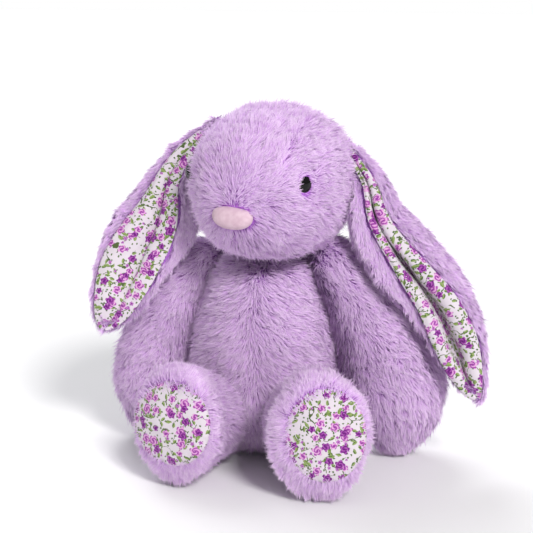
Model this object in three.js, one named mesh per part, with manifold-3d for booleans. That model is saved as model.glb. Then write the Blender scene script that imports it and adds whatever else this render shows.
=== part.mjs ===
// A seated plush rabbit with long lop ears, built the way it is sewn: covers cut from panels,
// stuffing inside them, printed ear linings and sole pads, safety eyes on washers.
// Millimetres, +Z up. The rabbit faces -Y, and +X is its own left. The origin is on the floor,
// in the middle of the flat seat panel.

import * as THREE from "three";
import { mergeVertices } from "three/addons/utils/BufferGeometryUtils.js";
import Module from "manifold-3d";

const wasm = await Module();
wasm.setup();

// Cloth and clearances.
const PLUSH = 5;          // knitted backing plus combed pile
const PRINT = 1.4;        // printed cotton with its interfacing
const GAP = 0.4;          // between neighbouring pieces
const SEAM = 0.6;         // slot between two panels of one cover
const FAR = 400;          // reach of a cutting block, beyond the whole toy

// Seat.
const SEAT_HALF_WIDTH = 32;
const SEAT_HALF_DEPTH = 29;
const SEAT_THICK = 2;
const POUCH_TOP = 26;

// Stations are [x, y, z, half width, half depth] along a form's middle line.
const TORSO = [
  [0, 3, 2.5, 0, 0],
  [0, 2, 14, 43, 42],
  [0, 1, 40, 50, 48],
  [0, 1, 72, 48, 46],
  [0, 2, 100, 40, 38],
  [0, 3, 117, 30, 29],
  [0, 3, 125, 0, 0],
];
const HEAD_AT = [4, -3, 177.5];
const HEAD_YAW = -9;
const HEAD_ROLL = 3;
const HEAD = [
  [0, 46, 1, 0, 0],
  [0, 34, 2, 37, 36],
  [0, 8, 1, 52.5, 50],
  [0, -20, -2, 50, 48],
  [0, -42, -8, 39, 38.5],
  [0, -56, -13, 25, 24],
  [0, -64, -15, 0, 0],
];
const GUSSET_HALF_WIDTH = 27;
const GUSSET_LOW = -6;

const EYE_RADIUS = 4.8;
const EYE_ANGLE = 53;
const EYE_HEIGHT = 3;
const EYE_PROUD = 0.8;
const EYE_DOME = 0.7;     // dome height over its radius
const EYE_TILT = 0.12;    // how far an eye looks upwards
const POST_RADIUS = 1.6;
const POST_LENGTH = 9;
const WASHER_RADIUS = 6.5;
const WASHER_THICK = 1.6;

const NOSE_SIZE = [14.5, 6.5, 8.5];
const NOSE_AT = [0, -61, -13];
const NOSE_CLOTH = 1.2;

const TAIL_RADIUS = 19;
const TAIL_AT = [0, 57, 34];

// Each limb: its stations, and the hinge that its root turns about.
const ARMS = {
  left: {
    path: [
      [30, 5, 131, 0, 0],
      [44, 4, 121, 16, 18],
      [60, 2, 103, 22, 23],
      [76, 0, 76, 30, 29],
      [87, -3, 42, 33, 31],
      [91, -5, 0.3, 0, 0],
    ],
    pivot: [42, 4, 122],
    axis: [0.88, 0, 0.475],
  },
  right: {
    path: [
      [-28, 5, 131, 0, 0],
      [-42, 4, 121, 16, 18],
      [-58, 3, 100, 22, 23],
      [-70, 2, 68, 26, 27],
      [-74, 1, 38, 27, 28],
      [-76, 0, 0.3, 0, 0],
    ],
    pivot: [-40, 4, 122],
    axis: [0.91, 0, -0.415],
  },
};
const ARM_SWING = [-5, 2, 10, 22, 42, 70];

const LEGS = {
  left: {
    path: [
      [24, -14, 29, 0, 0],
      [30, -30, 30, 20, 22],
      [38, -55, 32, 28, 29],
      [50, -82, 36, 34, 35.5],
      [57, -100, 39, 34.5, 38.5],
      [60, -112, 40, 0, 0],
    ],
    pivot: [28, -28, 30],
    turn: 8,
  },
  right: {
    path: [
      [-22, -14, 29, 0, 0],
      [-27, -30, 30, 20, 22],
      [-29, -52, 32, 28, 29],
      [-33, -74, 36, 34, 35.5],
      [-36, -91, 39, 34.5, 38.5],
      [-39, -103, 40, 0, 0],
    ],
    pivot: [-26, -28, 30],
    turn: -16,
  },
};
const LEG_SWING = [-25, -12, 0];
const SOLE_HALF_WIDTH = 24.5;
const SOLE_HALF_HEIGHT = 28;
const SOLE_LEAN = 6;
const SOLE_BACK = 5;
const SOLE_THICK = 2.4;

// Ear stations are [x, y, z, half width, fold angle of each half, facing azimuth].
const EARS = {
  left: {
    stations: [
      [53, 1, 200, 8, 60, 20],
      [62, -1, 186, 14, 60, 22],
      [78, -7, 157, 21, 58, 26],
      [98, -16, 121, 25, 56, 28],
      [117, -23, 86, 25, 50, 28],
      [131, -26, 60, 19, 42, 26],
      [139, -26, 43, 7, 24, 26],
    ],
    pivot: [52, 1, 201],
    axis: [0, -1, 0],
  },
  right: {
    stations: [
      [-42, 5, 205, 8, 40, -30],
      [-52, -3, 190, 13, 32, -24],
      [-69, -16, 157, 20, 24, -16],
      [-82, -26, 129, 23, 18, -10],
      [-90, -34, 107, 23, 14, -6],
      [-95, -39, 90, 17, 10, -4],
      [-98, -42, 80, 6, 6, -2],
    ],
    pivot: [-41, 5, 206],
    axis: [0, 1, 0],
  },
};
const EAR_LIFT = [0, 15, 40, 70, 100];
const EAR_PLUSH = 7;
const EAR_RIM = 4;
const EAR_LENGTH = 150;   // along the middle line, for the lining's ends
const EAR_CURL = 1.6;     // power of a half's rise from the fold to its edge
const EAR_LEAN = 0.6;     // power of the cloth's lean along that rise

const COLOURS = {
  plush: { color: 0xc3a0dc, roughness: 0.95 },
  print: { color: 0xe8e0ee, roughness: 0.8 },
  nose: { color: 0xd9b9c4, roughness: 0.9 },
  eye: { color: 0x0b0a0c, roughness: 0.12 },
  fill: { color: 0xf2f0ec, roughness: 1 },
  pouch: { color: 0xd8d4c8, roughness: 0.9 },
  washer: { color: 0xf4f4f2, roughness: 0.5 },
};

// Fineness of the surfaces.
const BODY_RINGS = 11;
const BODY_SIDES = 18;
const LIMB_RINGS = 10;
const LIMB_SIDES = 14;
const SMALL_SIDES = 14;
const SMALL_ROWS = 9;
const DOME_STEPS = 5;
const EAR_RINGS = 10;
const EAR_HALF = 4;
const SOCKET_GAP = 2;     // round a limb's root, inside the torso

const radians = THREE.MathUtils.degToRad;

// ---------------------------------------------------------------- closed surfaces

// Joins rings of points into one closed surface, each end closed by a fan.
function closedLoft(rings) {
  const sides = rings[0].length;
  const positions = rings.flat().flatMap((p) => [p.x, p.y, p.z]);
  const index = [];
  for (let r = 0; r + 1 < rings.length; r += 1) {
    for (let s = 0; s < sides; s += 1) {
      const a = r * sides + s;
      const b = r * sides + (s + 1) % sides;
      index.push(a, b, b + sides, a, b + sides, a + sides);
    }
  }
  const fan = (ring, first, flip) => {
    const middle = positions.length / 3;
    const centre = ring.reduce((sum, p) => sum.add(p), new THREE.Vector3()).divideScalar(sides);
    positions.push(centre.x, centre.y, centre.z);
    for (let s = 0; s < sides; s += 1) {
      const pair = [first + s, first + (s + 1) % sides];
      index.push(middle, ...(flip ? pair : pair.reverse()));
    }
  };
  fan(rings[0], 0, false);
  fan(rings.at(-1), (rings.length - 1) * sides, true);
  const geometry = new THREE.BufferGeometry();
  geometry.setAttribute("position", new THREE.Float32BufferAttribute(positions, 3));
  geometry.setIndex(index);
  return geometry;
}

// A stuffed form: ellipses across a smooth line through the stations. The squared half sizes are
// interpolated, so both ends round off. "up" is the direction that the half depth is measured in.
function stuffedForm(stations, up, ringCount = BODY_RINGS, sides = BODY_SIDES) {
  const line = new THREE.CatmullRomCurve3(stations.map((s) => new THREE.Vector3(...s)));
  const sizes = new THREE.CatmullRomCurve3(
    stations.map((s) => new THREE.Vector3(s[3] ** 2, s[4] ** 2, 0)));
  const rings = [];
  for (let r = 1; r < ringCount; r += 1) {
    const t = (1 - Math.cos(Math.PI * r / ringCount)) / 2;
    const centre = line.getPoint(t);
    const along = line.getTangent(t);
    const depth = up.clone().addScaledVector(along, -up.dot(along)).normalize();
    const width = new THREE.Vector3().crossVectors(depth, along);
    const size = sizes.getPoint(t);
    const ring = [];
    for (let s = 0; s < sides; s += 1) {
      const angle = 2 * Math.PI * s / sides;
      ring.push(centre.clone()
        .addScaledVector(width, Math.cos(angle) * Math.sqrt(Math.max(size.x, 1)))
        .addScaledVector(depth, Math.sin(angle) * Math.sqrt(Math.max(size.y, 1))));
    }
    rings.push(ring);
  }
  return closedLoft(rings);
}

// The same closed surface moved inwards along its vertex normals.
function shrunk(geometry, distance) {
  const inner = geometry.clone();
  inner.computeVertexNormals();
  const { position, normal } = inner.attributes;
  for (let i = 0; i < position.count; i += 1) {
    position.setXYZ(i,
      position.getX(i) - distance * normal.getX(i),
      position.getY(i) - distance * normal.getY(i),
      position.getZ(i) - distance * normal.getZ(i));
  }
  return inner;
}

// ---------------------------------------------------------------- solids

function solid(geometry, matrix = new THREE.Matrix4()) {
  const bare = geometry.clone().applyMatrix4(matrix);
  bare.deleteAttribute("normal");
  bare.deleteAttribute("uv");
  const merged = mergeVertices(bare, 1e-4);
  return new wasm.Manifold(new wasm.Mesh({
    numProp: 3,
    vertProperties: new Float32Array(merged.attributes.position.array),
    triVerts: new Uint32Array(merged.index.array),
  }));
}

function block(low, high) {
  const size = high.map((h, i) => h - low[i]);
  const middle = high.map((h, i) => (h + low[i]) / 2);
  return solid(new THREE.BoxGeometry(...size), new THREE.Matrix4().makeTranslation(...middle));
}

// A named mesh from a solid, in the finish it shows.
function piece(name, body, finish, parent) {
  const { vertProperties, triVerts } = body.getMesh();
  const geometry = new THREE.BufferGeometry();
  geometry.setAttribute("position", new THREE.BufferAttribute(vertProperties, 3));
  geometry.setIndex(new THREE.BufferAttribute(triVerts, 1));
  geometry.computeVertexNormals();
  const material = new THREE.MeshStandardMaterial({ metalness: 0, ...COLOURS[finish] });
  const mesh = new THREE.Mesh(geometry, material);
  mesh.name = name;
  parent.add(mesh);
  return mesh;
}

// Elliptical plate or drum about +Z, from z = low to z = high.
function drum(halfWidth, halfDepth, low, high, sides = 28) {
  const matrix = new THREE.Matrix4().makeRotationX(Math.PI / 2);
  matrix.premultiply(new THREE.Matrix4().makeScale(halfWidth, halfDepth, 1));
  matrix.premultiply(new THREE.Matrix4().makeTranslation(0, 0, (low + high) / 2));
  return new THREE.CylinderGeometry(1, 1, high - low, sides).applyMatrix4(matrix);
}

// The space that a swinging piece needs, from turned copies of it.
function swept(body, pivot, axis, angles) {
  const direction = new THREE.Vector3(...axis).normalize();
  return angles.map((angle) => {
    const turn = new THREE.Matrix4().makeTranslation(...pivot)
      .multiply(new THREE.Matrix4().makeRotationAxis(direction, radians(angle)))
      .multiply(new THREE.Matrix4().makeTranslation(...pivot.map((v) => -v)));
    return body.transform(turn.elements);
  }).reduce((all, next) => all.add(next));
}

const Y_AXIS = new THREE.Vector3(0, 1, 0);
const Z_AXIS = new THREE.Vector3(0, 0, 1);

// ---------------------------------------------------------------- torso

function buildTorso(toy, sockets) {
  const form = stuffedForm(TORSO, Y_AXIS);
  const carved = (body) => sockets.reduce((left, socket) => left.subtract(socket), body);
  const cover = carved(solid(form)).subtract(solid(shrunk(form, PLUSH)));
  const half = SEAM / 2;
  const quarters = {
    torso_front_left: block([half, -FAR, -FAR], [FAR, -half, FAR]),
    torso_front_right: block([-FAR, -FAR, -FAR], [-half, -half, FAR]),
    torso_back_left: block([half, half, -FAR], [FAR, FAR, FAR]),
    torso_back_right: block([-FAR, half, -FAR], [-half, FAR, FAR]),
  };
  for (const [name, quarter] of Object.entries(quarters)) {
    piece(name, cover.intersect(quarter), "plush", toy);
  }
  const fill = carved(solid(shrunk(form, PLUSH + GAP)));
  piece("torso_stuffing", fill.intersect(block([-FAR, -FAR, POUCH_TOP + GAP], [FAR, FAR, FAR])),
    "fill", toy);
  piece("bean_pouch", fill.intersect(block([-FAR, -FAR, -FAR], [FAR, FAR, POUCH_TOP])), "pouch", toy);
  const seat = drum(SEAT_HALF_WIDTH, SEAT_HALF_DEPTH, 0, SEAT_THICK);
  piece("seat_panel", solid(seat), "plush", toy);
  return solid(shrunk(form, -GAP));
}

function buildTail(toy, torso) {
  const place = new THREE.Matrix4().makeTranslation(...TAIL_AT);
  const ball = (radius) => solid(new THREE.SphereGeometry(radius, SMALL_SIDES, SMALL_ROWS), place);
  const cover = ball(TAIL_RADIUS).subtract(ball(TAIL_RADIUS - PLUSH)).subtract(torso);
  piece("tail_cover", cover, "plush", toy);
  piece("tail_stuffing", ball(TAIL_RADIUS - PLUSH - GAP).subtract(torso), "fill", toy);
}

// ---------------------------------------------------------------- head

// A lathe about +Z: the glossy dome from z = 0 up, and its post below, grown all round by "extra".
function eyeForm(extra) {
  const radius = EYE_RADIUS + extra;
  const profile = [new THREE.Vector2(0, -POST_LENGTH - extra)];
  profile.push(new THREE.Vector2(POST_RADIUS + extra, -POST_LENGTH - extra));
  profile.push(new THREE.Vector2(POST_RADIUS + extra, -1 - extra));
  profile.push(new THREE.Vector2(radius, -1 - extra));
  for (let i = 0; i <= DOME_STEPS; i += 1) {
    const angle = Math.PI / 2 * i / DOME_STEPS;
    profile.push(new THREE.Vector2(radius * Math.cos(angle), radius * EYE_DOME * Math.sin(angle)));
  }
  profile.at(-1).x = 0;
  return new THREE.LatheGeometry(profile, SMALL_SIDES).rotateX(Math.PI / 2);
}

// A flat ring about +Z that the post passes through.
function washerForm(extra) {
  const bore = Math.max(POST_RADIUS + GAP - extra, 0);
  const low = -POST_LENGTH - extra;
  const high = low + WASHER_THICK + 2 * extra;
  const rim = WASHER_RADIUS + extra;
  const corners = [[bore, low], [rim, low], [rim, high], [bore, high], [bore, low]];
  const points = corners.map((corner) => new THREE.Vector2(...corner));
  return new THREE.LatheGeometry(points, SMALL_SIDES).rotateX(Math.PI / 2);
}

// Where an eye sits on the head's surface, looking outwards.
function eyePlace(form, side) {
  const azimuth = radians(EYE_ANGLE) * side;
  const level = new THREE.Vector3(0, -14, EYE_HEIGHT);
  const outwards = new THREE.Vector3(Math.sin(azimuth), -Math.cos(azimuth), EYE_TILT).normalize();
  const surface = new THREE.Mesh(form, new THREE.MeshStandardMaterial({ side: THREE.DoubleSide }));
  const hit = new THREE.Raycaster(level, outwards).intersectObject(surface)[0].point;
  const turn = new THREE.Quaternion().setFromUnitVectors(Z_AXIS, outwards);
  hit.addScaledVector(outwards, EYE_PROUD - EYE_RADIUS * EYE_DOME);
  return new THREE.Matrix4().compose(hit, turn, new THREE.Vector3(1, 1, 1));
}

function buildHead(toy) {
  const head = new THREE.Group();
  head.position.set(...HEAD_AT);
  head.rotation.set(0, radians(HEAD_ROLL), radians(HEAD_YAW), "ZYX");
  toy.add(head);
  const form = stuffedForm(HEAD, Z_AXIS);
  const places = { left: eyePlace(form, 1), right: eyePlace(form, -1) };
  const eyeRoom = Object.values(places).map((place) => solid(eyeForm(GAP), place));
  const washerRoom = Object.values(places).map((place) => solid(drum(
    WASHER_RADIUS + GAP, WASHER_RADIUS + GAP,
    -POST_LENGTH - 2 * GAP, -POST_LENGTH + WASHER_THICK + GAP, SMALL_SIDES), place));
  const cover = eyeRoom.reduce((left, room) => left.subtract(room),
    solid(form).subtract(solid(shrunk(form, PLUSH))));
  const half = SEAM / 2;
  const strip = block([-GUSSET_HALF_WIDTH, -FAR, GUSSET_LOW], [GUSSET_HALF_WIDTH, FAR, FAR]);
  const slot = block(
    [-GUSSET_HALF_WIDTH - SEAM, -FAR, GUSSET_LOW - SEAM], [GUSSET_HALF_WIDTH + SEAM, FAR, FAR]);
  const sides = cover.subtract(slot);
  piece("head_gusset", cover.intersect(strip), "plush", head);
  piece("head_side_left", sides.intersect(block([half, -FAR, -FAR], [FAR, FAR, FAR])), "plush", head);
  piece("head_side_right", sides.intersect(block([-FAR, -FAR, -FAR], [-half, FAR, FAR])), "plush", head);
  const fill = [...eyeRoom, ...washerRoom].reduce((left, room) => left.subtract(room),
    solid(shrunk(form, PLUSH + GAP)));
  piece("head_stuffing", fill, "fill", head);
  for (const [side, place] of Object.entries(places)) {
    piece(`eye_${side}`, solid(eyeForm(0), place), "eye", head);
    piece(`eye_washer_${side}`, solid(washerForm(0), place), "washer", head);
  }
  buildNose(head, form);
  head.updateMatrixWorld(true);
  return solid(shrunk(form, -SOCKET_GAP), head.matrixWorld);
}

function buildNose(head, form) {
  const clearOfHead = solid(shrunk(form, -GAP));
  const place = new THREE.Matrix4().makeTranslation(...NOSE_AT);
  const pad = (inset) => {
    const size = new THREE.Matrix4().makeScale(...NOSE_SIZE.map((s) => s - inset));
    return solid(new THREE.SphereGeometry(1, SMALL_SIDES, SMALL_ROWS + 1).applyMatrix4(size), place);
  };
  piece("nose", pad(0).subtract(pad(NOSE_CLOTH)).subtract(clearOfHead), "nose", head);
  piece("nose_padding", pad(NOSE_CLOTH + GAP).subtract(clearOfHead), "fill", head);
}

// ---------------------------------------------------------------- limbs

function limbSocket(path, up, pivot, axis, angles) {
  const form = stuffedForm(path, up, LIMB_RINGS, LIMB_SIDES);
  return swept(solid(shrunk(form, -SOCKET_GAP)), pivot, axis, angles);
}

function buildArm(toy, side, { path }) {
  const form = stuffedForm(path, Y_AXIS, LIMB_RINGS, LIMB_SIDES);
  const cover = solid(form).subtract(solid(shrunk(form, PLUSH)));
  const split = path[1][1];
  const front = block([-FAR, -FAR, -FAR], [FAR, split - SEAM / 2, FAR]);
  const back = block([-FAR, split + SEAM / 2, -FAR], [FAR, FAR, FAR]);
  piece(`arm_${side}_front`, cover.intersect(front), "plush", toy);
  piece(`arm_${side}_back`, cover.intersect(back), "plush", toy);
  piece(`arm_${side}_stuffing`, solid(shrunk(form, PLUSH + GAP)), "fill", toy);
}

// The foot's flat end: a frame with +Z out of the sole.
function solePlace({ path, turn }) {
  const end = new THREE.Vector3(...path.at(-1));
  const yaw = new THREE.Matrix4().makeRotationZ(radians(turn));
  const pitch = new THREE.Matrix4().makeRotationX(radians(90 - SOLE_LEAN));
  return new THREE.Matrix4().makeTranslation(end).multiply(yaw).multiply(pitch)
    .multiply(new THREE.Matrix4().makeTranslation(0, 0, -SOLE_BACK));
}

function buildLeg(toy, side, leg) {
  const form = stuffedForm(leg.path, Z_AXIS, LIMB_RINGS, LIMB_SIDES);
  const place = solePlace(leg);
  const oval = (grow, low, high) =>
    solid(drum(SOLE_HALF_WIDTH + grow, SOLE_HALF_HEIGHT + grow, low, high), place);
  const beyond = solid(drum(FAR, FAR, 0, FAR), place);
  const padRoom = oval(GAP, -SOLE_THICK - GAP, FAR);
  const cover = solid(form).subtract(solid(shrunk(form, PLUSH))).subtract(beyond).subtract(padRoom);
  const level = leg.path[1][2] + 2;
  const upper = block([-FAR, -FAR, level + SEAM / 2], [FAR, FAR, FAR]);
  const lower = block([-FAR, -FAR, -FAR], [FAR, FAR, level - SEAM / 2]);
  piece(`leg_${side}_upper`, cover.intersect(upper), "plush", toy);
  piece(`leg_${side}_lower`, cover.intersect(lower), "plush", toy);
  piece(`leg_${side}_sole`, oval(0, -SOLE_THICK, 0), "print", toy);
  const behind = solid(drum(FAR, FAR, -SOLE_THICK - GAP, FAR), place);
  piece(`leg_${side}_stuffing`, solid(shrunk(form, PLUSH + GAP)).subtract(behind), "fill", toy);
}

// ---------------------------------------------------------------- ears

// One layer of an ear: a strip folded along its middle, "low" to "high" in front of the fold line,
// with its edges drawn in by "inset".
function earLayer(stations, low, high, inset) {
  const line = new THREE.CatmullRomCurve3(stations.map((s) => new THREE.Vector3(...s)));
  const shape = new THREE.CatmullRomCurve3(
    stations.map((s) => new THREE.Vector3(s[3], s[4], s[5])));
  const rings = [];
  for (let r = 0; r <= EAR_RINGS; r += 1) {
    const end = inset / EAR_LENGTH;
    const t = end + (1 - 2 * end) * r / EAR_RINGS;
    const along = line.getTangent(t);
    const size = shape.getPoint(t);
    const facing = new THREE.Vector3(Math.sin(radians(size.z)), -Math.cos(radians(size.z)), 0);
    const normal = facing.addScaledVector(along, -facing.dot(along)).normalize();
    const across = new THREE.Vector3().crossVectors(along, normal);
    const fold = radians(size.y);
    const width = Math.max(size.x - inset, 2);
    const at = (v, height) => {
      const reach = Math.abs(v) * width;
      const lift = Math.abs(v) ** EAR_CURL;
      const slope = Math.min(1, EAR_CURL * Math.abs(v) ** EAR_LEAN);
      const lean = Math.sign(v) * Math.sin(fold) * slope;
      return line.getPoint(t)
        .addScaledVector(across, Math.sign(v) * reach * Math.cos(fold) - height * lean)
        .addScaledVector(normal, lift * width * Math.sin(fold) + height * Math.cos(fold));
    };
    const ring = [];
    for (let i = -EAR_HALF; i <= EAR_HALF; i += 1) ring.push(at(i / EAR_HALF, high));
    for (let i = EAR_HALF; i >= -EAR_HALF; i -= 1) ring.push(at(i / EAR_HALF, low));
    rings.push(ring);
  }
  return closedLoft(rings);
}

function buildEar(toy, side, { stations, pivot, axis }, headSpace) {
  const clear = swept(headSpace, pivot, axis, EAR_LIFT.map((angle) => -angle));
  const back = solid(earLayer(stations, -EAR_PLUSH, 0, 0)).subtract(clear);
  const lining = solid(earLayer(stations, GAP, GAP + PRINT, EAR_RIM)).subtract(clear);
  piece(`ear_${side}_back`, back, "plush", toy);
  piece(`ear_${side}_lining`, lining, "print", toy);
}

// ---------------------------------------------------------------- the toy

const toy = new THREE.Group();
const headSpace = buildHead(toy);
const sockets = [
  ...Object.values(ARMS).map((arm) => limbSocket(arm.path, Y_AXIS, arm.pivot, arm.axis, ARM_SWING)),
  ...Object.values(LEGS).map((leg) => limbSocket(leg.path, Z_AXIS, leg.pivot, [1, 0, 0], LEG_SWING)),
];
const torso = buildTorso(toy, sockets);
buildTail(toy, torso);
for (const [side, arm] of Object.entries(ARMS)) buildArm(toy, side, arm);
for (const [side, leg] of Object.entries(LEGS)) buildLeg(toy, side, leg);
for (const [side, ear] of Object.entries(EARS)) buildEar(toy, side, ear, headSpace);

export default toy;
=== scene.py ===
import math

import bpy
import numpy as np
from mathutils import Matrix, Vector


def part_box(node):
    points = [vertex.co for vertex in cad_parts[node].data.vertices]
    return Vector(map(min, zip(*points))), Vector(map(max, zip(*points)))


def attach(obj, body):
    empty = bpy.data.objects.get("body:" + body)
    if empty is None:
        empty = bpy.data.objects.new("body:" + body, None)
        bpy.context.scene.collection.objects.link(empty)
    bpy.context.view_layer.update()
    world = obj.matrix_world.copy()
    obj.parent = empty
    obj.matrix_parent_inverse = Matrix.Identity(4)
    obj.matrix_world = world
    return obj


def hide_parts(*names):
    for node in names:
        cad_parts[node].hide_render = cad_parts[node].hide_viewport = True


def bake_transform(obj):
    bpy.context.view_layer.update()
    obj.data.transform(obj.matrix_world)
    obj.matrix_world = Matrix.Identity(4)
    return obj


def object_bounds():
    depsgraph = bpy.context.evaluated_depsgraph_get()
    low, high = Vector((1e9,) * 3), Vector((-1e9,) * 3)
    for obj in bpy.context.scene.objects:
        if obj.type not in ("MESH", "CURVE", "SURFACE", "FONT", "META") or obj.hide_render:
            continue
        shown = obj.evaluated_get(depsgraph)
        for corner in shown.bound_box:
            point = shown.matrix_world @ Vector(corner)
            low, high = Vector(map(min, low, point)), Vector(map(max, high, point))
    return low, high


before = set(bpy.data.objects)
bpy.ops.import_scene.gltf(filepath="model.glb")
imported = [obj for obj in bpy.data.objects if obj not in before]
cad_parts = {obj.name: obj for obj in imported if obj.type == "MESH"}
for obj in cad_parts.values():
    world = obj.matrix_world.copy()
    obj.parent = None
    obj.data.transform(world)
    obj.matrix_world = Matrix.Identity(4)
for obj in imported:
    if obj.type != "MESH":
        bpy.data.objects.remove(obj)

cad_low, cad_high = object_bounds()

# ------------------------ studio
# A white table in a white room, with a soft key light from the toy's left front, a weak fill below
# it and a broad light from behind. None of it is part of the toy. The camera stands a metre away.
CAMERA_AZIMUTH = math.radians(12)
CAMERA_ELEVATION = math.radians(12)
CAMERA_DISTANCE = 1.0
SENSOR = 36
FIELD_WIDTH = 0.3465  # width of the view at the toy
AIM_SIDE = 0.001  # the camera looks this far from the middle, both ways
AIM_HEIGHT = 0.525  # and at this share of the toy's height
ROOM_LIGHT = 0.37  # how brightly the white room lights the toy
TABLE_REACH = 6

scene = bpy.context.scene
scene.view_settings.view_transform = "Standard"


def direction(azimuth, elevation):
    """The direction towards a place at this azimuth from the front and this height, in radians."""
    return Vector((
        math.sin(azimuth) * math.cos(elevation),
        -math.cos(azimuth) * math.cos(elevation),
        math.sin(elevation)))


def hang_light(name, azimuth, elevation, strength, softness, tint):
    """A distant lamp that shines on the toy from this side. All angles are in degrees."""
    away = direction(math.radians(azimuth), math.radians(elevation))
    data = bpy.data.lights.new(name, "SUN")
    data.energy = strength
    data.angle = math.radians(softness)
    data.color = tint
    lamp = bpy.data.objects.new(name, data)
    lamp.rotation_euler = away.to_track_quat("Z", "Y").to_euler()
    scene.collection.objects.link(lamp)


aim = Vector((AIM_SIDE, AIM_SIDE, AIM_HEIGHT * cad_high[2]))
back = direction(CAMERA_AZIMUTH, CAMERA_ELEVATION)
camera_data = bpy.data.cameras.new("camera")
camera_data.sensor_width = SENSOR
camera_data.lens = SENSOR * CAMERA_DISTANCE / FIELD_WIDTH
camera = bpy.data.objects.new("camera", camera_data)
camera.location = aim + back * CAMERA_DISTANCE
camera.rotation_euler = back.to_track_quat("Z", "Y").to_euler()
scene.collection.objects.link(camera)
scene.camera = camera

hang_light("key", 36, 37, 2.5, 15, (1, 0.985, 0.97))
hang_light("front", 32, 12, 0.42, 50, (1, 1, 1))
hang_light("behind", 215, 42, 1.6, 40, (0.97, 0.98, 1))

world = bpy.data.worlds.new("white_room")
scene.world = world
world.use_nodes = True
room = world.node_tree.nodes["Background"]
room.inputs["Color"].default_value = (1, 1, 1, 1)
rays = world.node_tree.nodes.new("ShaderNodeLightPath")
level = world.node_tree.nodes.new("ShaderNodeMapRange")     # white where the camera sees the room
level.inputs["To Min"].default_value = ROOM_LIGHT
level.inputs["To Max"].default_value = 1
world.node_tree.links.new(rays.outputs["Is Camera Ray"], level.inputs["Value"])
world.node_tree.links.new(level.outputs["Result"], room.inputs["Strength"])

table_mesh = bpy.data.meshes.new("table")
corners = [(TABLE_REACH * x, TABLE_REACH * y, 0) for x, y in ((-1, -1), (1, -1), (1, 1), (-1, 1))]
table_mesh.from_pydata(corners, [], [(0, 1, 2, 3)])
table = bpy.data.objects.new("table", table_mesh)
scene.collection.objects.link(table)
table_finish = bpy.data.materials.new("white_table")
table_finish.use_nodes = True
table_shader = table_finish.node_tree.nodes["Principled BSDF"]
table_shader.inputs["Base Color"].default_value = (0.92, 0.92, 0.93, 1)
table_shader.inputs["Roughness"].default_value = 0.7
table_mesh.materials.append(table_finish)

# ------------------------ torso
# The body is a pear-shaped bag of lilac plush, two panels in front and two behind, turned right side
# out and stuffed with fibre over a pouch of beads. Its pile is brushed out from the belly seam.
TORSO_PANELS = ["torso_front_left", "torso_front_right", "torso_back_left", "torso_back_right"]
# Each row: a place along the middle line as shares of the panels' box, then the half width and the
# half depth as shares of the box's height.
TORSO = [
    [0.494, 0.52, -0.015, 0, 0],
    [0.494, 0.51, 0.09, 0.36, 0.35],
    [0.494, 0.50, 0.30, 0.42, 0.40],
    [0.494, 0.50, 0.56, 0.40, 0.385],
    [0.494, 0.51, 0.80, 0.335, 0.32],
    [0.494, 0.52, 0.97, 0.26, 0.25],
    [0.494, 0.52, 1.08, 0, 0],
]
PILE = 0.0085  # length of the pile along its fibres
PILE_LIES = 0.0035  # how far the backing lies under the brushed surface
TUFT = 0.0005  # width of a tuft at its root
BEND = 0.45  # where a tuft turns over, as a share of its length
TUFT_SHARES = np.array([0, 0, BEND, BEND, 1])
ROOTED = 0.0005  # how deep a tuft's foot is in the backing
SWIRL = 0.013  # size of the slow turns in the pile's direction
LOCK = 0.005  # size of the locks that the pile draws into
STRAY = 0.15  # how far single tufts leave that direction
LOOSE = 0.05  # share of longer tufts that stand away from the rest
LENGTHS = (0.75, 1.12)  # how much the tufts' lengths differ
NAP_SHADE, TUFT_SHADE = 0.78, 0.22  # shares of the backing and of the tuft in the shading
LUMPS = 0.0009  # height of the stuffing's soft lumps
LUMP_SIZE = 0.026
FLOOR = 0.0004  # the lowest that any tuft is pressed on the table
SEAT = 0.0012  # the lowest that a backing is pressed
WORN_BELOW = 0.006  # under this height the pile is rubbed thin
WORN_SHARE = 0.15
SEAM_WIDTH = 0.001
BELLY_SWEEP = 0.012  # how far from the belly's seam the pile has turned to the side
BELLY_PARTS = 0.25
TORSO_TUFTS = {"front": 58000, "back": 45000}


def box_of(*names):
    """The lowest and highest corner round several CAD nodes."""
    corners = np.array([[tuple(end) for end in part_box(name)] for name in names])
    return corners[:, 0].min(0), corners[:, 1].max(0)


def placed(box, rows):
    """Rows in metres. Their places are shares of the box, and their two sizes shares of its height."""
    low, high = box
    rows = np.array(rows, float)
    rows[:, :3] = low + rows[:, :3] * (high - low)
    rows[:, 3:5] *= (high - low)[2]
    return rows


def smooth_line(rows, share):
    """A Catmull-Rom line through the rows, evenly spaced in share from 0 to 1."""
    around = np.vstack([2 * rows[0] - rows[1], rows, 2 * rows[-1] - rows[-2]])
    place = np.clip(share, 0, 1) * (len(rows) - 1)
    i = np.minimum(place.astype(int), len(rows) - 2)
    t = (place - i)[:, None]
    a, b, c, d = around[i], around[i + 1], around[i + 2], around[i + 3]
    bend = (2 * a - 5 * b + 4 * c - d) * t ** 2 + (3 * b - a - 3 * c + d) * t ** 3
    return b + 0.5 * ((c - a) * t + bend)


def unit(v):
    """Vectors divided by their length."""
    return v / np.maximum(np.linalg.norm(v, axis=-1, keepdims=True), 1e-12)


def middle_line(rows, count):
    """Points along the rows, closer together at both ends. The squares of the two half sizes are
    interpolated, so that an end of size 0 comes out round."""
    squared = rows.copy()
    squared[:, 3:5] **= 2
    line = smooth_line(squared, (1 - np.cos(np.pi * np.linspace(0, 1, count))) / 2)
    line[:, 3:5] = np.sqrt(np.maximum(line[:, 3:5], 0))
    return line, unit(np.gradient(line[:, :3], axis=0))


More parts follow.
